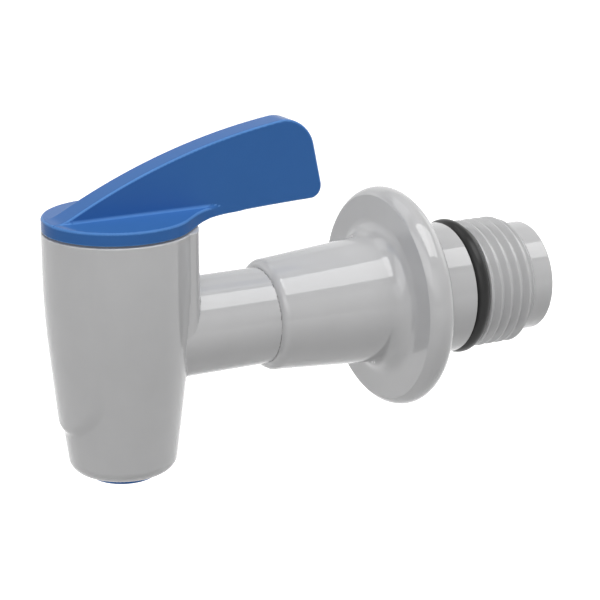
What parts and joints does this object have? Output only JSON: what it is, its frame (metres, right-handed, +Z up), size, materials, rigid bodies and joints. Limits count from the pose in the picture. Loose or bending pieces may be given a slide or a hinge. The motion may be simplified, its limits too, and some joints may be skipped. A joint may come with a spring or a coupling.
{
  "type": "water filter faucet",
  "caption": "Quarter-turn plug tap with an upright lever, hanging barrel and flanged threaded shank, for the wall of a water filter vessel.",
  "frame": {"origin": "centre of the flange's rear seat face, on the shank's axis", "axes": "+Y along the shank into the vessel, +Z up, the barrel and its lever towards -Y"},
  "size_m": [0.0356, 0.0847, 0.0532],
  "materials": {
    "grey_plastic": "moulded, glossy light grey",
    "blue_plastic": "moulded, satin blue",
    "black_rubber": "smooth black nitrile rubber",
    "seal_rubber": "smooth pale silicone rubber",
    "slide_plastic": "white low-friction plastic",
    "stainless_steel": "plain stainless steel"
  },
  "bodies": {
    "body": {"barrel_body": "grey_plastic", "mounting_shank": "grey_plastic", "joint_ring": "black_rubber", "shank_ring": "black_rubber", "port_seal": "seal_rubber", "thrust_washer": "slide_plastic"},
    "tap": {"handle": "blue_plastic", "valve_plug": "blue_plastic", "upper_plug_ring": "black_rubber", "lower_plug_ring": "black_rubber", "handle_screw": "stainless_steel", "screw_seal": "seal_rubber", "outlet_ring": "blue_plastic"}
  },
  "joints": [
    {"name": "lever_turn", "type": "hinge", "parent": "body", "child": "tap", "pos_m": [0, -0.0497, 0], "axis": [0, 0, 1], "range_deg": [-90, 90]}
  ]
}
